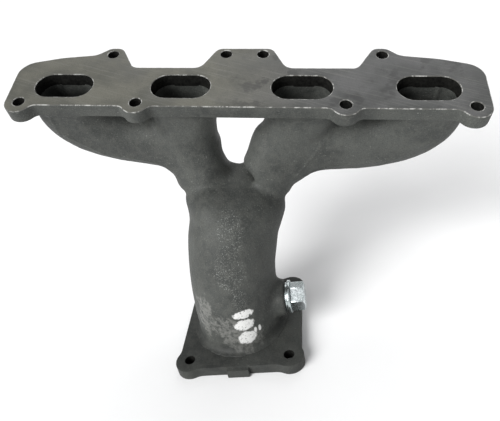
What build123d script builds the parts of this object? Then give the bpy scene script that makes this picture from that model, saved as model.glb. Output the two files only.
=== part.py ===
from build123d import *
import os

# Cast-iron exhaust manifold for a four-cylinder engine, millimetres.
# Origin: centre of the turbo flange's gasket face, which the part stands on. +Z runs up the
# collector, +X along the row of ports, and -Y is the side that the cylinder-head face leans to.

# ---- driving dimensions -------------------------------------------------------------------
wall = 6.0                      # cast wall of the ducts

# cylinder-head flange
head_thickness = 11.0
head_centre = (37.8, 22.0, 223.5)   # middle of the port row, on the gasket face
head_tilt = 22.7                # the face leans forward by this
head_lean = 9.5                 # and its right end drops by this
port_pitch = 90.0
port_size = (45.0, 25.0)        # oval ports
stud_hole_r = 4.5               # clearance for M8 studs
end_hole = (165.0, -18.0)       # stud holes, each on both sides of the middle
low_hole = (76.0, -17.5)
ear_hole = (105.0, 36.5)
mid_hole = (14.4, 37.2)
boss_r = 10.8                   # round lobes of the lower edge
lower_edge = -21.3
lobe_fillet = 7.0
notch_edge = 21.0
ear_top = 44.0
upper_outline = [               # right half of the flange's upper edge: (along, up, corner radius)
    (21.5, ear_top, 7), (33, notch_edge, 9), (86, notch_edge, 7), (98.5, ear_top, 7),
    (108.5, ear_top, 8), (118, 35.8, 14), (146, 32.2, 60), (177, 24, 15),
]

# turbo flange
turbo_thickness = 10.0
turbo_pitch = 87.6              # square pattern of four holes
turbo_hole_r = 4.5
turbo_half = 53.8               # half the width across the straight edges
turbo_ear_r = 12.8
ear_relief = 1.0                # the straight edges lie this far inside the ears
ear_fillet = 16.0
turbo_bore_r = 31.0
collector_r = 38.0
base_fillet = 3.0
lug_size = (19.0, 8.5, 3.5)     # cast lug on the front edge: width, height, stand-out

# plug in the side of the collector, M18
plug_height = 35.0
plug_boss_r = 16.5
plug_boss_end = 44.0
thread_r = 9.0
thread_length = 12.0
thread_clearance = 0.05
ring_clearance = 0.3
ring_chamfer = 0.4
seal_r = 12.6
seal_thickness = 2.2
washer_r = 14.6
washer_thickness = 2.4
hex_flats = 22.0
hex_height = 12.5
hex_turn = 12.0


os.makedirs("parts", exist_ok=True)

across = Vector(1, 0, 0).rotate(Axis.Y, head_lean)
outward = Vector(0, 0, 1).rotate(Axis.X, head_tilt).rotate(Axis.Y, head_lean)
head = Plane(origin=head_centre, x_dir=across, z_dir=outward)


def below_face(along, up, depth):
    """A point of the part, given from the middle of the head face."""
    return head.from_local_coords((along, up, -depth))


# ---- ducts: stations along each one, as (point, section width, section height) -----------------
throat = Vector(7, 20.5, 105)
throat_direction = Vector(0.28, 0.44, 1).normalized()
throat_stretch = 0.5            # the throat's section is this much wider than round
collector_base = Vector(-2, 0, 0)
chamber_line = [                # (along, up, depth, width, height, share of the lean to the throat)
    (-10, -12, 82, 44, 28, 0.35),
    (-10, -26, 92, 77.5, 60, 0.7),
]
runner_lines = {                # (along, up, depth, width, height) of each station after the port
    1: [(-135, 1, 27, 57, 39), (-112, 4, 50, 54, 43), (-72, 2, 58, 52, 43), (-30, -8, 78, 46, 42)],
    2: [(-46, 0, 34, 49, 39), (-43.5, -4, 60, 45, 41), (-34, -16, 84, 44, 43)],
    3: [(43, 0, 32, 50, 39), (28, -5, 60, 45, 41), (14, -16, 84, 43, 42)],
    4: [(135, 1, 28, 58, 39), (112, 4, 51, 55, 43), (66, 2, 57.5, 54, 44), (12, -8, 80, 46, 42)],
}


def runner_tube(number, inset):
    """One runner as a closed solid, its sections drawn in by the inset."""
    port = (number - 2.5) * port_pitch
    first = (port, 0, head_thickness, port_size[0] + 2 * wall, port_size[1] + 2 * wall)
    line = [first] + runner_lines[number]
    points = [below_face(*station[:3]) for station in line]
    with BuildPart() as tube:
        for i, (point, station) in enumerate(zip(points, line)):
            if i == 0:
                direction = -outward
            else:
                direction = (points[min(i + 1, len(points) - 1)] - points[i - 1]).normalized()
            sideways = direction.cross(head.y_dir).normalized()
            with BuildSketch(Plane(origin=point, x_dir=sideways, z_dir=direction)):
                SlotOverall(station[3] - 2 * inset, station[4] - 2 * inset)
        loft()
    return tube.part


def chamber_tube(inset):
    """The chamber that the runners open into, drawn together to the round throat."""
    with BuildPart() as tube:
        for along, up, deep, wide, high, lean in chamber_line:
            direction = -(throat_direction * lean + outward * (1 - lean)).normalized()
            middle = below_face(along, up, deep + inset / 2)
            with BuildSketch(Plane(origin=middle, x_dir=across, z_dir=direction)):
                SlotOverall(wide - 2 * inset, high - 2 * inset)
        with BuildSketch(Plane(origin=throat, x_dir=across, z_dir=-throat_direction)):
            SlotOverall(2 * (collector_r - inset) + throat_stretch, 2 * (collector_r - inset))
        loft()
    return tube.part


def collector_tube(radius):
    """The collector as a closed solid, from the gasket face up to the throat."""
    with BuildPart() as tube:
        with BuildLine() as line:
            Spline(collector_base, throat, tangents=[(0, 0, 1), throat_direction])
        for place in (0, 0.3, 0.65, 1):
            with BuildSketch(Plane(origin=line.line @ place, x_dir=(1, 0, 0), z_dir=line.line % place)):
                Circle(radius)
        loft()
    return tube.part


outer = {number: runner_tube(number, 0) for number in runner_lines}
inner = {number: runner_tube(number, wall) for number in runner_lines}
outer_collector = collector_tube(collector_r)
inner_collector = collector_tube(turbo_bore_r)
outer_chamber = chamber_tube(0)
inner_chamber = chamber_tube(collector_r - turbo_bore_r)

# ---- cylinder-head flange ----------------------------------------------------------------------
with BuildPart() as head_flange:
    with BuildSketch(head):
        with BuildLine():
            FilletPolyline(
                (0, ear_top), *[(along, up) for along, up, radius in upper_outline],
                (end_hole[0] + boss_r, end_hole[1]), end_hole, (end_hole[0], lower_edge), (0, lower_edge),
                radius=[radius for along, up, radius in upper_outline] + [0, 0, 0],
            )
            Line((0, lower_edge), (0, ear_top))
        make_face()
        mirror(about=Plane.YZ)
        for along, up in (end_hole, low_hole):
            with Locations((-along, up), (along, up)):
                Circle(boss_r)
        lobe_feet = vertices().filter_by(lambda v: abs(v.Y - lower_edge) < 0.01)
        fillet(lobe_feet, lobe_fillet)
    extrude(amount=-head_thickness)
    with BuildSketch(head):
        with GridLocations(port_pitch, 0, 4, 1):
            SlotOverall(*port_size)
        for along, up in (end_hole, low_hole, ear_hole, mid_hole):
            with Locations((-along, up), (along, up)):
                Circle(stud_hole_r)
    extrude(amount=-head_thickness, mode=Mode.SUBTRACT)

# ---- turbo flange ------------------------------------------------------------------------------
with BuildPart() as turbo_flange:
    with BuildSketch(Plane.XY):
        RectangleRounded(2 * turbo_half, 2 * turbo_half, turbo_ear_r - ear_relief)
        with GridLocations(turbo_pitch, turbo_pitch, 2, 2):
            Circle(turbo_ear_r)
        ear_feet = vertices().filter_by(lambda v: min(abs(v.X), abs(v.Y)) < turbo_pitch / 2 - ear_relief)
        fillet(ear_feet, ear_fillet)
    extrude(amount=turbo_thickness)
    with BuildSketch(Plane.XY):
        with Locations((0, -turbo_half)):
            Rectangle(lug_size[0], 2 * lug_size[2])
    extrude(amount=lug_size[1])
    with BuildSketch(Plane.XY):
        with Locations(collector_base):
            Circle(turbo_bore_r)
        with GridLocations(turbo_pitch, turbo_pitch, 2, 2):
            Circle(turbo_hole_r)
    extrude(amount=turbo_thickness, mode=Mode.SUBTRACT)

# ---- collector, with the boss for the plug -------------------------------------------------------
plug_axis = Plane(origin=(0, 0, plug_height), x_dir=(0, 1, 0), z_dir=(1, 0, 0))
with BuildPart() as collector:
    add(outer_collector)
    with BuildSketch(plug_axis):
        Circle(plug_boss_r)
    extrude(amount=plug_boss_end)
    with Locations((collector_base.X, 0, turbo_thickness + base_fillet / 2)):
        Cone(collector_r + base_fillet, collector_r, base_fillet)
    split(bisect_by=Plane.XY.offset(turbo_thickness), keep=Keep.TOP)
    add(inner_collector, mode=Mode.SUBTRACT)
    with BuildSketch(plug_axis):
        Circle(thread_r + thread_clearance)
    extrude(amount=plug_boss_end, mode=Mode.SUBTRACT)

# ---- merge chamber, where the four runners open into the collector --------------------------------
with BuildPart() as merge_chamber:
    add(outer_chamber)
    for hollow in (inner_chamber, *inner.values()):
        add(hollow, mode=Mode.SUBTRACT)

# ---- runners: each is cut to a saddle where it meets its neighbour --------------------------------
meets = {1: (2,), 2: (), 3: (2,), 4: (3,)}
runners = {}
for number, tube in outer.items():
    with BuildPart() as runner:
        add(tube)
        for taken in (outer_chamber, *[outer[other] for other in meets[number]], *inner.values()):
            add(taken, mode=Mode.SUBTRACT)
    runners[f"runner_{number}"] = runner

# ---- plug and its two washers ---------------------------------------------------------------------
def washer(start, thickness, radius, bore):
    """A flat ring on the plug's axis."""
    with BuildPart() as ring:
        with BuildSketch(plug_axis.offset(start)):
            Circle(radius)
            Circle(bore, mode=Mode.SUBTRACT)
        extrude(amount=thickness)
        chamfer(ring.edges().filter_by(GeomType.CIRCLE).group_by(SortBy.RADIUS)[-1], ring_chamfer)
    return ring


sealing_ring = washer(plug_boss_end, seal_thickness, seal_r, thread_r + ring_clearance)
plug_washer = washer(plug_boss_end + seal_thickness, washer_thickness, washer_r, thread_r + ring_clearance)

head_start = plug_boss_end + seal_thickness + washer_thickness
with BuildPart() as plug_bolt:
    with BuildSketch(plug_axis.offset(plug_boss_end - thread_length)):
        Circle(thread_r)
    extrude(amount=seal_thickness + washer_thickness + thread_length)
    with BuildSketch(plug_axis.offset(head_start)):
        RegularPolygon(hex_flats / 2, 6, major_radius=False, rotation=hex_turn)
    extrude(amount=hex_height)

nodes = {
    "head_flange": head_flange,
    "turbo_flange": turbo_flange,
    "collector": collector,
    "merge_chamber": merge_chamber,
    **runners,
    "sealing_ring": sealing_ring,
    "plug_washer": plug_washer,
    "plug_bolt": plug_bolt,
}
for name, node in nodes.items():
    # offcuts of the saddle cuts fall inside the neighbouring tube's wall and are dropped
    body = node.part.solids().sort_by(SortBy.VOLUME)[-1]
    body.label = name
    export_step(body, f"parts/{name}.step")
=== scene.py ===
import math

import bmesh
import bpy
import numpy as np
from mathutils import Matrix, Vector


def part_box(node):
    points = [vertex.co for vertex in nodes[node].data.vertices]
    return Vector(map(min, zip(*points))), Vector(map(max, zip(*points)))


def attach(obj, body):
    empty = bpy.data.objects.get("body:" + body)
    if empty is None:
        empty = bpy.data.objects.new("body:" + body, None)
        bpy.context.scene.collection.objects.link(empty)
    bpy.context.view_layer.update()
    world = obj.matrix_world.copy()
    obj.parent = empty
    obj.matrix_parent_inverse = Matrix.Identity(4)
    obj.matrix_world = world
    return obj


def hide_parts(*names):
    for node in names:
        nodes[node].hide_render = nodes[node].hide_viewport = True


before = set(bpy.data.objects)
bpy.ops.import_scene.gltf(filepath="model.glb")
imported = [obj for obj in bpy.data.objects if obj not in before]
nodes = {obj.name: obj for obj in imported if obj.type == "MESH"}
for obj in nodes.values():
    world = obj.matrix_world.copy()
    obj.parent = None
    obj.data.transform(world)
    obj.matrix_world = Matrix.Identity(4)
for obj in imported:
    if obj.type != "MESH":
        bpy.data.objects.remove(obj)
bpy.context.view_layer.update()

# Cast-iron exhaust manifold. Blender works in metres; sizes here are in millimetres, times MM.
MM = 0.001

# ---- the head flange: its plane and its own axes, as in the CAD model --------------------------
HEAD_CENTRE = Vector((37.8, 22.0, 223.5)) * MM
HEAD_TILT = math.radians(22.7)
HEAD_LEAN = math.radians(9.5)
HEAD_THICKNESS = 11.0 * MM
HEAD_EDGE = 0.7 * MM            # width of the broken edges
PORTS_ALONG = (-135, -45, 45, 135)
STUD_HOLES = ((165, -18), (76, -17.5), (105, 36.5), (14.4, 37.2))   # each on both sides of the middle
TURBO_THICKNESS = 10.0 * MM
TURBO_EDGE = 0.9 * MM
TURBO_HOLE = 43.8               # the four holes' distance from the middle, each way
# how far a bore's own wall can lie from its centre
PORT_REACH, HOLE_REACH, OUTLET_REACH = 26 * MM, 8 * MM, 34 * MM
TILTED = Matrix.Rotation(HEAD_LEAN, 3, "Y") @ Matrix.Rotation(HEAD_TILT, 3, "X")
ALONG = TILTED @ Vector((1, 0, 0))
UPWARD = TILTED @ Vector((0, 1, 0))
OUTWARD = TILTED @ Vector((0, 0, 1))

# ---- casting ---------------------------------------------------------------------------------
VOXEL = 1.2 * MM
COARSE = 2.2 * MM
CAST_NODES = ("runner_1", "runner_2", "runner_3", "runner_4", "merge_chamber", "collector")
FLANGES = ("head_flange", "turbo_flange")
FOOT = 0.3 * MM          # the ducts' fillets end this far above a flange, then turn down into it
SUNK = 1.2 * MM
FILLET_ROUNDS = 40
MELT_ROUNDS = 40
# listed places of the casting to reshape: centre, direction, reach, and how far the skin moves, in mm
SHAPED = (
    ((56, 29, 130), (0.8, 0.0, -0.6), 34, 6.5),         # fuller crook between runner 4 and the collector
    ((44, 12, 94), (1.0, 0.0, 0.0), 32, 2.2),
    ((-30, 22, 149), (-0.75, 0.0, -0.65), 26, 6.0),     # and on the side of runner 1
    ((-24, 12, 130), (-1.0, 0.0, 0.1), 24, -3.5),
)
# wide fillets: (centre, half sizes) of the zone, the tightest radius left in it, rounds of filling
CROOKS = (
    (((50, 28, 128), (46, 46, 44)), 30 * MM, 200),
    (((-36, 28, 140), (40, 46, 44)), 30 * MM, 200),
    (((6, 18, 104), (66, 62, 34)), 60 * MM, 200),
    (((8, 0, 135), (60, 34, 44)), 30 * MM, 160),
    (((18, 30, 158), (34, 50, 34)), 12 * MM, 220),
)
# zones whose corners are melted down first: centre and half sizes
MELTED = (((22, 34, 158), (30, 46, 32)),)

# mould seams: outer runners' lines as (along, depth, half width), and how far inside the outer edge
OUTER_RUNNERS = (
    ((-135, 11, 28.5), (-135, 27, 28.5), (-112, 50, 27), (-72, 58, 26), (-30, 78, 23)),
    ((135, 11, 28.5), (135, 28, 29), (112, 51, 27.5), (66, 57.5, 27), (12, 80, 23)),
)
SEAM_INSET = 17.0
SEAM_HEIGHT, SEAM_WIDTH = 0.6, 1.3
SEAM_START = (22, 40)    # a seam rises over this stretch past the runner's inner end
SEAM_REACH = 40          # and runs only on skin this close to the runner's line
# the joint's seam on the front of runner 3: its ends, the way its skin faces, and its size
JOINT_SEAM = ((100.9, 28.1, 177.5), (66.0, 20.0, 140.0))
JOINT_SEAM_FACING = (0.17, -0.9, 0.3)
JOINT_SEAM_HEIGHT = 0.45

# the swell of the sand-cast skin: height, size of its waves, and seed
SWELLS = ((0.16, 9, 1), (0.10, 4.2, 2), (0.07, 2.4, 3))

# a point of the outer skin
FRONT_OF_COLLECTOR = Vector((10.0, -36.0, 40.0)) * MM

# ---- plug and rings -----------------------------------------------------------------------------
PLUG_HEIGHT = 35.0 * MM
HEX_FLATS = 22.0 * MM
HEX_HEIGHT = 12.5 * MM
HEX_TURN = math.radians(12.0)
THREAD_R = 9.0 * MM
PLUG_BOSS_END = 44.0 * MM
THREAD_START = 28.0 * MM        # the thread bore's wall is hidden from here to the boss's end
THREAD_SLACK = 0.9 * MM
RING_GAP = 0.3 * MM
RING_EASE = 0.45 * MM
CHAMFER = 1.6 * MM


def srgb(red, green, blue):
    """A colour given as it looks on screen, 0 to 255, as Blender's linear RGBA."""
    linear = [((c / 255 + 0.055) / 1.055) ** 2.4 if c > 10 else c / 255 / 12.92
              for c in (red, green, blue)]
    return (*linear, 1.0)


# ---- meshes as arrays ------------------------------------------------------------------------------
def read_points(mesh):
    points = np.empty(len(mesh.vertices) * 3, np.float32)
    mesh.vertices.foreach_get("co", points)
    return points.reshape(-1, 3)


def write_points(mesh, points):
    mesh.vertices.foreach_set("co", points.astype(np.float32).ravel())
    mesh.update()


def read_normals(mesh):
    normals = np.empty(len(mesh.vertices) * 3, np.float32)
    mesh.vertex_normals.foreach_get("vector", normals)
    return normals.reshape(-1, 3)


def new_piece(name, mesh):
    piece = bpy.data.objects.new(name, mesh)
    bpy.context.scene.collection.objects.link(piece)
    return piece


def with_modifiers(piece):
    """The piece's mesh with its modifiers worked in, and the modifiers gone."""
    bpy.context.view_layer.update()
    evaluated = piece.evaluated_get(bpy.context.evaluated_depsgraph_get())
    mesh = bpy.data.meshes.new_from_object(evaluated)
    piece.modifiers.clear()
    piece.data = mesh
    return mesh


def remeshed(piece, voxel):
    """Rebuilds the piece's mesh as one closed skin of even quads, and returns it."""
    fuse = piece.modifiers.new("fuse", "REMESH")
    fuse.mode = "VOXEL"
    fuse.voxel_size = voxel
    fuse.adaptivity = 0
    return with_modifiers(piece)


def cad_copy(name, sources):
    """One new mesh with the closed skins of several CAD nodes."""
    joined = bmesh.new()
    for source in sources:
        joined.from_mesh(nodes[source].data)
    bmesh.ops.remove_doubles(joined, verts=joined.verts, dist=0.001 * MM)
    mesh = bpy.data.meshes.new(name)
    joined.to_mesh(mesh)
    joined.free()
    return mesh


def value_noise(points, size, seed):
    """Smooth random values from -1 to 1, one for each point, on a lattice of the given size."""
    table = np.random.default_rng(seed).uniform(-1, 1, (64, 64, 64)).astype(np.float32)
    place = points / size
    cell = np.floor(place).astype(int)
    part = place - cell
    part = part * part * (3 - 2 * part)
    total = np.zeros(len(points), np.float32)
    for corner in np.ndindex(2, 2, 2):
        index = (cell + corner) % 64
        weight = np.prod(np.where(corner, part, 1 - part), axis=1)
        total += weight * table[index[:, 0], index[:, 1], index[:, 2]]
    return total


def smoothstep(values, low, high):
    t = np.clip((values - low) / (high - low), 0, 1)
    return t * t * (3 - 2 * t)


class Patch:
    """The points of a mesh inside a soft-edged ellipsoid, given as centre and half sizes, or all of
    them, with the edges between them."""

    def __init__(self, mesh, zone=None):
        self.mesh = mesh
        self.whole = read_points(mesh)
        edges = np.empty(len(mesh.edges) * 2, int)
        mesh.edges.foreach_get("vertices", edges)
        a, b = edges.reshape(-1, 2).T
        share = np.ones(len(self.whole), np.float32)
        if zone is not None:
            centre, half = (np.array(entry) * MM for entry in zone)
            share = 1 - smoothstep(np.linalg.norm((self.whole - centre) / half, axis=1), 0.6, 1.0)
        self.inside = np.flatnonzero(share > 0)
        number = np.full(len(self.whole), -1)
        number[self.inside] = np.arange(len(self.inside))
        kept = (number[a] >= 0) & (number[b] >= 0)
        self.a, self.b = number[a[kept]], number[b[kept]]
        self.points, self.share, self.count = self.whole[self.inside], share[self.inside], len(self.inside)
        ends = np.bincount(self.a, minlength=self.count) + np.bincount(self.b, minlength=self.count)
        self.degree = np.maximum(ends, 1)[:, None]

    def pull(self):
        """From each point to the middle of its neighbours."""
        a, b, points = self.a, self.b, self.points
        total = [np.bincount(a, points[b, i], self.count) + np.bincount(b, points[a, i], self.count)
                 for i in range(3)]
        return np.stack(total, axis=1) / self.degree - points

    def write(self):
        self.whole[self.inside] = self.points
        write_points(self.mesh, self.whole)


def relax(mesh, rounds, tightest, voxel, zone=None):
    """Fills inner corners tighter than a radius with fillets, everywhere or in a zone."""
    patch = Patch(mesh, zone)
    level = voxel ** 2 / 4 / tightest
    for turn in range(rounds):
        if turn % 8 == 0:
            patch.write()
            normals = read_normals(mesh)[patch.inside]
        out = (patch.pull() * normals).sum(1)
        rate = 0.8 * smoothstep(out, 0.7 * level, 2.0 * level) * patch.share
        patch.points = patch.points + (rate * out)[:, None] * normals
    patch.write()


def settle(mesh, rounds, zone=None):
    """Evens the skin out, everywhere or in a zone."""
    patch = Patch(mesh, zone)
    for _ in range(rounds):
        patch.points = patch.points + 0.5 * patch.share[:, None] * patch.pull()
    patch.write()


def shape_by_hand(mesh, centre, direction, reach, amount):
    """Moves the skin that faces a direction along it, most at the centre and fading with distance."""
    points, normals = read_points(mesh), read_normals(mesh)
    way = np.array(Vector(direction).normalized())
    near = np.clip(1 - ((points - np.array(centre) * MM) ** 2).sum(1) / (reach * MM) ** 2, 0, 1) ** 2
    faces_it = smoothstep(normals @ way, -0.25, 0.35)
    write_points(mesh, points + (amount * MM * near * faces_it)[:, None] * way)


def skin_of(mesh, start):
    """Marks the faces joined to the face nearest a point."""
    loose = bmesh.new()
    loose.from_mesh(mesh)
    first = min(loose.faces, key=lambda face: (face.calc_center_median() - start).length_squared)
    seen, queue = {first}, [first]
    while queue:
        for edge in queue.pop().edges:
            for face in edge.link_faces:
                if face not in seen:
                    seen.add(face)
                    queue.append(face)
    marked = np.zeros(len(loose.faces), bool)
    marked[[face.index for face in seen]] = True
    loose.free()
    return marked


def seams(points, normals):
    """How far the mould seams stand out of the skin at each point."""
    local = points / MM - np.array(HEAD_CENTRE) / MM
    along, deep = local @ np.array(ALONG), -local @ np.array(OUTWARD)
    rise = np.zeros(len(points))
    front = smoothstep(-(normals @ np.array(UPWARD)), 0.2, 0.6)
    for line in OUTER_RUNNERS:
        nearest = np.full(len(points), 1e9)
        beside = np.zeros(len(points))
        side = np.sign(line[0][0])
        for (a0, d0, w0), (a1, d1, w1) in zip(line, line[1:]):
            span = np.array((a1 - a0, d1 - d0), float)
            t = np.clip(((along - a0) * span[0] + (deep - d0) * span[1]) / (span @ span), 0, 1)
            off_a, off_d = along - a0 - t * span[0], deep - d0 - t * span[1]
            gap = np.hypot(off_a, off_d)
            outwards = side * (off_d * -span[0] + off_a * span[1]) / np.hypot(*span)
            here = gap < nearest
            nearest = np.where(here, gap, nearest)
            beside = np.where(here, outwards - (w0 + (w1 - w0) * t - SEAM_INSET), beside)
        ends = smoothstep(side * along, *(abs(line[-1][0]) + start for start in SEAM_START))
        rise += SEAM_HEIGHT * np.exp(-(beside / SEAM_WIDTH) ** 2) * ends * (nearest < SEAM_REACH)
    start, end = (np.array(point) for point in JOINT_SEAM)
    span = end - start
    across = np.cross(span, JOINT_SEAM_FACING)
    offset = points / MM - start
    t = offset @ span / (span @ span)
    within = smoothstep(t, -0.08, 0.05) * (1 - smoothstep(t, 0.95, 1.1))
    facing = smoothstep(normals @ np.array(JOINT_SEAM_FACING), 0.0, 0.4)
    joint = JOINT_SEAM_HEIGHT * np.exp(-(offset @ across / np.linalg.norm(across)) ** 2) * within * facing
    return (rise * front + joint) * MM


def drop_thread_bore(mesh):
    """Takes out the threaded hole's wall, which the plug fills and hides."""
    shape = bmesh.new()
    shape.from_mesh(mesh)
    hidden = []
    for face in shape.faces:
        middle = face.calc_center_median()
        off_axis = math.hypot(middle.y, middle.z - PLUG_HEIGHT)
        if off_axis < THREAD_R + THREAD_SLACK and THREAD_START < middle.x < PLUG_BOSS_END + 0.5 * MM:
            hidden.append(face)
    bmesh.ops.delete(shape, geom=hidden, context="FACES")
    shape.to_mesh(mesh)
    shape.free()


def cut_above(mesh, point, normal, foot, sunk):
    """Keeps what lies beyond a plane, and turns the cut edge down through it as a foot."""
    cut = bmesh.new()
    cut.from_mesh(mesh)
    bmesh.ops.bisect_plane(cut, geom=cut.verts[:] + cut.edges[:] + cut.faces[:], dist=0.0001 * MM,
                           plane_co=point + normal * foot, plane_no=normal, clear_inner=True)
    rim = [e for e in cut.edges if e.is_boundary
           and all(abs((v.co - point).dot(normal) - foot) < 0.01 * MM for v in e.verts)]
    grown = bmesh.ops.extrude_edge_only(cut, edges=rim)["geom"]
    for vertex in grown:
        if isinstance(vertex, bmesh.types.BMVert):
            vertex.co -= normal * (foot + sunk)
    bmesh.ops.recalc_face_normals(cut, faces=cut.faces[:])
    cut.to_mesh(mesh)
    cut.free()


# ---- ducts: the CAD skins fused, filleted and roughened as one casting --------------------------------
ducts = new_piece("casting_ducts", cad_copy("casting_ducts", CAST_NODES + FLANGES))
skin = remeshed(ducts, COARSE)
for zone in MELTED:
    settle(skin, MELT_ROUNDS, zone)
for place in SHAPED:
    shape_by_hand(skin, *place)
for zone, tightest, rounds in CROOKS:
    relax(skin, rounds, tightest, COARSE, zone)
settle(skin, 2)
skin = remeshed(ducts, VOXEL)
settle(skin, 3)
relax(skin, FILLET_ROUNDS, 6 * MM, VOXEL)
settle(skin, 2)

drop_thread_bore(skin)
points = read_points(skin)
normals = read_normals(skin)
swell = sum(height * value_noise(points, size * MM, seed) for height, size, seed in SWELLS) * MM
rise = swell + seams(points, normals)
write_points(skin, points + rise[:, None] * normals)

cut_above(skin, HEAD_CENTRE - OUTWARD * HEAD_THICKNESS, -OUTWARD, FOOT, SUNK)
cut_above(skin, Vector((0, 0, TURBO_THICKNESS)), Vector((0, 0, 1)), FOOT, SUNK)
skin.shade_smooth()

# ---- flanges: the CAD skins with their edges broken, the sides left as cast -----------------------
def flange_piece(name, source, width, milled, front, holes):
    """A flange as its own mesh. Faces get slot 0 where cast, 1 where milled, 2 on the broken edges and
    3 in the holes, which are given as centre and reach. The front is a point of the seen face."""
    def is_bore(place, normal):
        return any((place - centre).dot(normal) < 0 and (place - centre).length < reach
                   for centre, reach in holes)

    shape = bmesh.new()
    shape.from_mesh(nodes[source].data)
    bmesh.ops.remove_doubles(shape, verts=shape.verts, dist=0.001 * MM)
    bmesh.ops.dissolve_limit(shape, angle_limit=math.radians(0.4), verts=shape.verts, edges=shape.edges)
    corners = [e for e in shape.edges if e.is_manifold and e.calc_face_angle() > math.radians(50)]
    through = milled[0]
    for face in shape.faces:
        face.material_index = int(any(face.normal.dot(axis) > 0.999 for axis in milled))
        if abs(face.normal.dot(through)) < 0.1 and is_bore(face.calc_center_median(), face.normal):
            face.material_index = 3
    bmesh.ops.bevel(shape, geom=corners, offset=width, offset_type="OFFSET", segments=2, profile=0.6,
                    affect="EDGES", clamp_overlap=True, material=2)
    shape.normal_update()
    for face in shape.faces:
        middle = face.calc_center_median()
        if face.material_index == 2 and abs((middle - front).dot(through)) > 1.5 * MM:
            face.material_index = 3 if is_bore(middle, face.normal) else 0
    bmesh.ops.triangulate(shape, faces=[f for f in shape.faces if len(f.verts) > 4])
    mesh = bpy.data.meshes.new(name)
    shape.to_mesh(mesh)
    shape.free()
    mesh.shade_smooth()
    mesh.set_sharp_from_angle(angle=math.radians(28))
    return new_piece(name, mesh)


def on_head(along, up, depth):
    return HEAD_CENTRE + (along * ALONG + up * UPWARD - depth * OUTWARD) * MM


MID = HEAD_THICKNESS / MM / 2
head_holes = [(on_head(along, 0, MID), PORT_REACH) for along in PORTS_ALONG]
head_holes += [(on_head(side * along, up, MID), HOLE_REACH) for along, up in STUD_HOLES for side in (-1, 1)]
turbo_holes = [(Vector((side * TURBO_HOLE, end * TURBO_HOLE, 5)) * MM, HOLE_REACH)
               for side in (-1, 1) for end in (-1, 1)]
turbo_holes += [(Vector((-2, 0, 5)) * MM, OUTLET_REACH)]
head_plate = flange_piece("head_flange_plate", "head_flange", HEAD_EDGE, (OUTWARD,), HEAD_CENTRE,
                          head_holes)
turbo_plate = flange_piece("turbo_flange_plate", "turbo_flange", TURBO_EDGE, (Vector((0, 0, -1)),),
                           Vector((0, 0, 0)), turbo_holes)


# ---- plug: chamfered hexagon head on its thread, and the two rings ---------------------------------
def turned(name, profile, radius_at, steps=96):
    """A closed solid round the plug's axis: profile is (place along X, radius) rows."""
    shape = bmesh.new()
    rings = []
    for along, radius in profile:
        ring = []
        for i in range(steps):
            angle = 2 * math.pi * i / steps
            reach = radius_at(radius, angle)
            place = (along, reach * math.cos(angle), PLUG_HEIGHT + reach * math.sin(angle))
            ring.append(shape.verts.new(place))
        rings.append(ring)
    for low, high in zip(rings, rings[1:] + rings[:1]):
        for i in range(steps):
            j = (i + 1) % steps
            shape.faces.new((low[i], low[j], high[j], high[i]))
    bmesh.ops.recalc_face_normals(shape, faces=shape.faces)
    mesh = bpy.data.meshes.new(name)
    shape.to_mesh(mesh)
    shape.free()
    mesh.shade_smooth()
    mesh.set_sharp_from_angle(angle=math.radians(30))
    return new_piece(name, mesh)


def round_section(radius, angle):
    return radius


def hex_section(radius, angle):
    """The hexagon's own reach at this angle, or the radius where that is smaller."""
    turn = (angle - HEX_TURN - math.pi / 6) % (math.pi / 3) - math.pi / 6
    return min(radius, HEX_FLATS / 2 / math.cos(turn))


def ring_profile(node, bore):
    """A flat ring's section, from the CAD node's box, its outer corners rounded."""
    low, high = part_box(node)
    outer = (high.y - low.y) / 2
    arc = [(RING_EASE * (1 - math.cos(t)), RING_EASE * (1 - math.sin(t)))
           for t in np.linspace(0, math.pi / 2, 5)]
    left = [(low.x + x, outer - r) for x, r in arc]
    right = [(high.x - x, outer - r) for x, r in reversed(arc)]
    return [(low.x, bore)] + left + right + [(high.x, bore)]


seal = turned("sealing_ring_turned", ring_profile("sealing_ring", THREAD_R + RING_GAP), round_section)
washer = turned("plug_washer_turned", ring_profile("plug_washer", THREAD_R + RING_GAP), round_section)

bolt_low, bolt_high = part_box("plug_bolt")
head_start = bolt_high.x - HEX_HEIGHT
CORNER_R = HEX_FLATS / 2 / math.cos(math.pi / 6)
bolt_profile = [(bolt_low.x, 0.01 * MM), (bolt_low.x, THREAD_R - 0.8 * MM),
                (bolt_low.x + 0.8 * MM, THREAD_R),
                (head_start, THREAD_R), (head_start, HEX_FLATS / 2 - 0.3 * MM),
                (head_start + 0.3 * MM, CORNER_R - 0.3 * MM), (head_start + 0.6 * MM, CORNER_R)]
bolt_profile += [(bolt_high.x - CHAMFER * (1 - t), CORNER_R - (CORNER_R - HEX_FLATS / 2 * 0.93) * t ** 1.5)
                 for t in np.linspace(0, 1, 9)]
bolt_profile += [(bolt_high.x, HEX_FLATS / 2 * 0.86), (bolt_high.x, 0.01 * MM)]
bolt = turned("plug_bolt_turned", bolt_profile, hex_section, steps=120)


# ---- node materials -----------------------------------------------------------------------------------
BASE_SHADE = 0.68       # the turbo flange is this much darker than the ducts
# marks on the collector: centres and half sizes in millimetres
PALE_MARKS = [((11, -33, 48.5), (10, 10, 4.2)), ((9.5, -34, 38), (9, 10, 5.5)), ((10, -35, 24), (8.5, 10, 7)),
              ((17.5, -31, 29), (1.2, 6, 3.4)), ((21.0, -29.5, 29), (1.2, 6, 3.4))]
GREY_MARKS = [((-24, -27, 46), (9, 14, 24)), ((-8, -34, 36), (15, 12, 13)), ((8, -35, 22), (20, 12, 12))]
# painted sparkle highlights on the collector's front: places for bright specks put into the colour
PAINTED_SPARKLE_MARKS = [((10, -30, 62), (7, 12, 12)), ((12, -14, 118), (12, 20, 26)), ((6, -26, 88), (14, 20, 22))]


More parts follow.
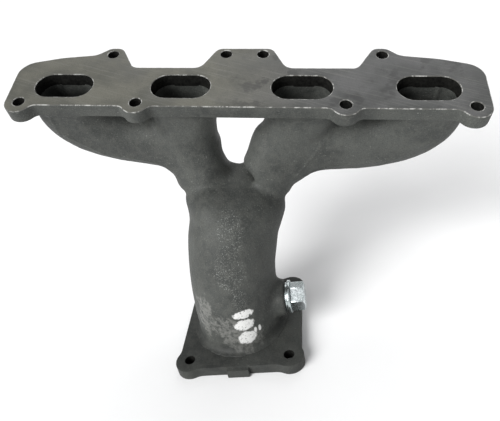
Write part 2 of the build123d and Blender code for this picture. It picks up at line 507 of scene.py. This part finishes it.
class Finish:
    """A procedural material: helpers that add nodes and return their output sockets."""

    def __init__(self, name):
        self.material = bpy.data.materials.new(name)
        self.material.use_nodes = True
        self.tree = self.material.node_tree
        self.shader = self.tree.nodes["Principled BSDF"]
        place = self.tree.nodes.new("ShaderNodeTexCoord").outputs["Object"]
        scaled = self.node("ShaderNodeVectorMath", operation="SCALE")
        self.join(place, scaled.inputs[0])
        scaled.inputs["Scale"].default_value = 1 / MM
        self.place = scaled.outputs[0]      # millimetres in the part's frame

    def node(self, kind, **settings):
        made = self.tree.nodes.new(kind)
        for key, value in settings.items():
            setattr(made, key, value)
        return made

    def join(self, value, socket):
        if isinstance(value, bpy.types.NodeSocket):
            self.tree.links.new(value, socket)
        else:
            socket.default_value = value

    def math(self, operation, a, b):
        made = self.node("ShaderNodeMath", operation=operation)
        self.join(a, made.inputs[0])
        self.join(b, made.inputs[1])
        return made.outputs[0]

    def noise(self, size, detail, rough, at=None):
        """Noise from 0 to 1 with features of about this size in millimetres."""
        made = self.node("ShaderNodeTexNoise")
        self.join(at or self.place, made.inputs["Vector"])
        made.inputs["Scale"].default_value = 1 / size
        made.inputs["Detail"].default_value = detail
        made.inputs["Roughness"].default_value = rough
        return made.outputs[0]

    def pits(self, size):
        """Distance to the nearest of many scattered points, for grains and pits."""
        made = self.node("ShaderNodeTexVoronoi", feature="F1")
        self.join(self.place, made.inputs["Vector"])
        made.inputs["Scale"].default_value = 1 / size
        return made.outputs["Distance"]

    def ramp(self, value, low, high, to_low=0.0, to_high=1.0):
        """A smooth step of the value between low and high."""
        made = self.node("ShaderNodeMapRange", interpolation_type="SMOOTHSTEP")
        for socket, entry in zip(("Value", "From Min", "From Max", "To Min", "To Max"),
                                 (value, low, high, to_low, to_high)):
            self.join(entry, made.inputs[socket])
        return made.outputs["Result"]

    def mix(self, factor, a, b, blend="MIX"):
        made = self.node("ShaderNodeMix", data_type="RGBA", blend_type=blend)
        self.join(factor, made.inputs[0])
        self.join(a, made.inputs[6])
        self.join(b, made.inputs[7])
        return made.outputs[2]

    def axis(self, direction):
        """Distance in millimetres along a direction, from the part's origin."""
        made = self.node("ShaderNodeVectorMath", operation="DOT_PRODUCT")
        self.join(self.place, made.inputs[0])
        made.inputs[1].default_value = direction
        return made.outputs["Value"]

    def blob(self, centre, radii, ragged, size):
        """1 inside a ragged ellipsoid, 0 outside it."""
        moved = self.node("ShaderNodeVectorMath", operation="SUBTRACT")
        self.join(self.place, moved.inputs[0])
        moved.inputs[1].default_value = centre
        squashed = self.node("ShaderNodeVectorMath", operation="DIVIDE")
        self.join(moved.outputs[0], squashed.inputs[0])
        squashed.inputs[1].default_value = radii
        length = self.node("ShaderNodeVectorMath", operation="LENGTH")
        self.join(squashed.outputs[0], length.inputs[0])
        wobble = self.math("MULTIPLY", self.math("SUBTRACT", self.noise(size, 4, 0.6), 0.5), ragged)
        return self.ramp(self.math("ADD", length.outputs["Value"], wobble), 0.8, 1.05, 1.0, 0.0)

    def blobs(self, places, ragged, size):
        """The union of several ragged ellipsoids."""
        union = None
        for centre, radii in places:
            mark = self.blob(centre, radii, ragged, size)
            union = mark if union is None else self.math("MAXIMUM", union, mark)
        return union

    def bump(self, height, depth, strength, under=None):
        made = self.node("ShaderNodeBump")
        self.join(height, made.inputs["Height"])
        made.inputs["Distance"].default_value = depth
        made.inputs["Strength"].default_value = strength
        if under is not None:
            self.join(under, made.inputs["Normal"])
        return made.outputs["Normal"]

    def finish(self, colour, rough, normal, metallic=0.0, specular=0.5):
        self.join(colour, self.shader.inputs["Base Color"])
        self.join(rough, self.shader.inputs["Roughness"])
        self.join(normal, self.shader.inputs["Normal"])
        self.shader.inputs["Metallic"].default_value = metallic
        self.shader.inputs["Specular IOR Level"].default_value = specular
        return self.material


def cast_iron(name, with_scuffs_and_sparkle, shade=1.0):
    """Sand-cast grey iron: mottled dark grey with a grain, and painted highlights (light specks and bright
    glints in the base colour) on the grain's tips.
    """
    f = Finish(name)
    cloud = f.noise(34, 4, 0.6)
    mottle = f.noise(6.5, 4, 0.65)
    grain = f.noise(0.75, 3, 0.7)
    sand = f.pits(1.3)
    colour = f.mix(f.ramp(cloud, 0.35, 0.65), srgb(58, 60, 58), srgb(74, 76, 73))
    colour = f.mix(f.math("MULTIPLY", f.ramp(mottle, 0.42, 0.62), 0.45), colour, srgb(84, 85, 81))
    colour = f.mix(f.math("MULTIPLY", f.ramp(grain, 0.5, 0.3), 0.6), colour, srgb(30, 31, 29))
    # painted highlights: the grain's tips lightened, with brighter painted glints on them in patches
    tips = f.ramp(f.noise(1.1, 3, 0.7), 0.54, 0.68)
    colour = f.mix(f.math("MULTIPLY", tips, 0.35), colour, srgb(106, 108, 104))
    painted_glint = f.math("MULTIPLY", f.ramp(f.noise(1.1, 2, 0.6), 0.66, 0.74),
                   f.ramp(f.noise(15, 3, 0.6), 0.45, 0.7))
    colour = f.mix(f.math("MULTIPLY", painted_glint, 0.7), colour, srgb(150, 152, 146))
    rough = f.ramp(mottle, 0.3, 0.7, 0.52, 0.68)
    if with_scuffs_and_sparkle:
        colour, rough = scuffs_and_painted_sparkle(f, colour, rough)
        foot = f.ramp(f.axis((0, 0, 1)), 11, 22, BASE_SHADE, 1.0)
        shaded = f.mix(1.0, colour, (BASE_SHADE, BASE_SHADE, BASE_SHADE, 1), "MULTIPLY")
        colour = f.mix(f.ramp(foot, BASE_SHADE, 1.0), shaded, colour)
    if shade < 1:
        colour = f.mix(1.0, colour, (shade, shade, shade, 1), "MULTIPLY")
    height = f.math("ADD", f.math("MULTIPLY", grain, 0.5), f.math("MULTIPLY", sand, 0.45))
    normal = f.bump(height, 0.22 * MM, 0.8, f.bump(mottle, 0.5 * MM, 0.7))
    return f.finish(colour, rough, normal, specular=0.25)


def scuffs_and_painted_sparkle(f, colour, rough):
    """Worn, shiny and pale marks low on the front of the collector, and painted sparkle highlights above
    them.
    """
    front = f.ramp(f.axis((0, -1, 0)), 8, 20)
    grit = f.ramp(f.noise(1.8, 4, 0.7), 0.34, 0.44)
    pale = f.math("MULTIPLY", f.math("MULTIPLY", f.blobs(PALE_MARKS, 0.8, 3.5), grit), front)
    patchy = f.ramp(f.noise(3.2, 4, 0.7), 0.35, 0.62)
    grey = f.math("MULTIPLY", f.math("MULTIPLY", f.blobs(GREY_MARKS, 1.6, 9), patchy), front)
    # painted sparkle: bright specks in the base colour standing in for highlights
    painted_sparkle = f.math("MULTIPLY", f.blobs(PAINTED_SPARKLE_MARKS, 1.0, 8), f.ramp(f.noise(1.0, 2, 0.7), 0.56, 0.68))
    colour = f.mix(f.math("MULTIPLY", painted_sparkle, 0.45), colour, srgb(168, 170, 166))
    colour = f.mix(f.math("MULTIPLY", grey, 0.55), colour, srgb(128, 128, 124))
    colour = f.mix(f.math("MULTIPLY", pale, 0.9), colour, srgb(226, 226, 224))
    rough = f.mix(grey, rough, (0.38, 0.38, 0.38, 1))
    return colour, rough


def milled_face():
    """The head flange's face: dulled milled iron, faint cutter streaks, dark stains to the right."""
    f = Finish("milled_face")
    along, up = f.axis(ALONG), f.axis(UPWARD)
    turned_place = f.node("ShaderNodeCombineXYZ")
    slant = f.math("ADD", f.math("MULTIPLY", along, 0.35), up)
    f.join(f.math("MULTIPLY", along, 0.035), turned_place.inputs[0])
    f.join(slant, turned_place.inputs[1])
    streak = f.noise(1.6, 3, 0.6, at=turned_place.outputs[0])
    cloud = f.noise(26, 4, 0.6)
    right = f.ramp(along, -30, 70)
    colour = f.mix(f.ramp(cloud, 0.35, 0.65), srgb(80, 80, 73), srgb(98, 97, 88))
    colour = f.mix(right, colour, f.mix(f.ramp(cloud, 0.35, 0.65), srgb(64, 65, 64), srgb(84, 84, 84)))
    stain = f.math("MULTIPLY", f.ramp(f.noise(17, 5, 0.62), 0.54, 0.62), f.ramp(along, -25, 10))
    colour = f.mix(f.math("MULTIPLY", stain, 0.55), colour, srgb(42, 42, 42))
    colour = f.mix(f.math("MULTIPLY", f.ramp(streak, 0.5, 0.72), 0.3), colour, srgb(122, 122, 116))
    dust = f.ramp(f.noise(0.9, 3, 0.7), 0.5, 0.35)
    colour = f.mix(f.math("MULTIPLY", dust, 0.35), colour, srgb(52, 52, 49))
    rough = f.ramp(cloud, 0.3, 0.7, 0.42, 0.56)
    height = f.math("ADD", f.math("MULTIPLY", streak, 0.6), f.math("MULTIPLY", f.noise(0.8, 3, 0.7), 0.5))
    return f.finish(colour, rough, f.bump(height, 0.1 * MM, 0.7), specular=0.5)


def worn_and_highlit_edge(name, dull, bright):
    """Broken edges: rubbed bright in places, partly real wear and partly a painted edge highlight."""
    f = Finish(name)
    wear_and_highlight = f.ramp(f.noise(5, 4, 0.7), 0.46, 0.62)
    colour = f.mix(wear_and_highlight, srgb(*dull), srgb(*bright))
    grain = f.noise(0.8, 3, 0.7)
    return f.finish(colour, 0.42, f.bump(grain, 0.2 * MM, 0.8), specular=0.6)


def zinc(name):
    """Bright zinc plate with a blue-green tint and dull handling marks."""
    f = Finish(name)
    cloud = f.noise(7, 3, 0.6)
    colour = f.mix(f.ramp(cloud, 0.35, 0.65), srgb(196, 206, 206), srgb(214, 220, 222))
    scratch = f.noise(1.4, 4, 0.7)
    colour = f.mix(f.math("MULTIPLY", f.ramp(scratch, 0.58, 0.7), 0.45), colour, srgb(140, 150, 146))
    rough = f.ramp(scratch, 0.3, 0.7, 0.2, 0.36)
    return f.finish(colour, rough, f.bump(scratch, 0.05 * MM, 0.5), metallic=1.0)


def near_black_bore():
    """The inside of the ducts, ports and holes, coloured near-black."""
    f = Finish("black_bore")
    grain = f.noise(2.5, 4, 0.65)
    colour = f.mix(f.ramp(grain, 0.35, 0.65), srgb(15, 15, 14), srgb(30, 30, 28))
    return f.finish(colour, 0.8, f.bump(grain, 0.3 * MM, 0.8), specular=0.1)


casting = cast_iron("cast_iron", True)
bore_finish = near_black_bore()
side_casting = cast_iron("cast_iron_flange", False)
dark_casting = cast_iron("cast_iron_base", False, BASE_SHADE)
# the head flange's bright edge colour is partly a painted highlight
head_edge = worn_and_highlit_edge("worn_and_highlit_edge", (84, 84, 80), (172, 172, 168))
base_edge = worn_and_highlit_edge("rubbed_edge", (52, 53, 51), (84, 85, 82))
face_finish = milled_face()
plate = zinc("zinc_plate")

skin.materials.clear()
skin.materials.append(bore_finish)
skin.materials.append(casting)
skin.polygons.foreach_set("material_index", skin_of(skin, FRONT_OF_COLLECTOR).astype(np.int32))
for piece, cast, edge in ((head_plate, side_casting, head_edge), (turbo_plate, dark_casting, base_edge)):
    for finish in (cast, face_finish, edge, bore_finish):
        piece.data.materials.append(finish)
for piece in (seal, washer, bolt):
    piece.data.materials.append(plate)

for piece, slot, replaced in (
    (ducts, "cast_iron", CAST_NODES),
    (head_plate, "machined_flange", ("head_flange",)),
    (turbo_plate, "cast_iron", ("turbo_flange",)),
    (seal, "zinc_plate", ("sealing_ring",)),
    (washer, "zinc_plate", ("plug_washer",)),
    (bolt, "zinc_plate", ("plug_bolt",)),
):
    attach(piece, "root")
    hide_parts(*replaced)

# ---- floor, light and camera ------------------------------------------------------------------------------
FLOOR_HALF = 9.0        # metres
WORLD_STRENGTH = 0.32
CAMERA_PLACE = (0.098, -0.3283, 0.3333)
CAMERA_VIEW = (-0.1760, 0.8364, -0.5190)
CAMERA_UP = (0.110, 0.5407, 0.8340)

floor_mesh = bpy.data.meshes.new("floor")
floor_mesh.from_pydata([(-FLOOR_HALF, -FLOOR_HALF, 0), (FLOOR_HALF, -FLOOR_HALF, 0),
                        (FLOOR_HALF, FLOOR_HALF, 0), (-FLOOR_HALF, FLOOR_HALF, 0)], [], [(0, 1, 2, 3)])
floor = new_piece("floor", floor_mesh)
pale = Finish("pale_floor")
speck = pale.noise(60, 3, 0.5)
floor_mesh.materials.append(pale.finish(pale.mix(speck, srgb(246, 246, 246), srgb(250, 250, 250)), 0.9,
                                        pale.bump(speck, 0.01 * MM, 0.1), specular=0.1))

world = bpy.data.worlds.new("studio")
world.use_nodes = True
world.node_tree.nodes["Background"].inputs["Color"].default_value = srgb(252, 253, 255)
world.node_tree.nodes["Background"].inputs["Strength"].default_value = WORLD_STRENGTH
bpy.context.scene.world = world


def studio_sun(name, heading, strength, spread):
    """A broad, even light: a sun with a wide disc, coming from a heading."""
    light = bpy.data.lights.new(name, "SUN")
    light.energy = strength
    light.angle = math.radians(spread)
    lamp = bpy.data.objects.new(name, light)
    lamp.rotation_euler = Vector(heading).to_track_quat("Z", "Y").to_euler()
    bpy.context.scene.collection.objects.link(lamp)


studio_sun("key_light", (-0.8, -0.95, 0.75), 3.9, 40)
studio_sun("back_light", (0.3, 0.9, 1.1), 0.9, 60)

camera_data = bpy.data.cameras.new("camera")
camera_data.sensor_width = 36.0
camera_data.lens = 35.28
camera = bpy.data.objects.new("camera", camera_data)
view = Vector(CAMERA_VIEW).normalized()
right = view.cross(Vector(CAMERA_UP)).normalized()
above = right.cross(view)
camera.matrix_world = Matrix.Translation(CAMERA_PLACE) @ Matrix(
    ((right.x, above.x, -view.x), (right.y, above.y, -view.y), (right.z, above.z, -view.z))).to_4x4()
bpy.context.scene.collection.objects.link(camera)
bpy.context.scene.camera = camera
bpy.context.scene.view_settings.view_transform = "Standard"
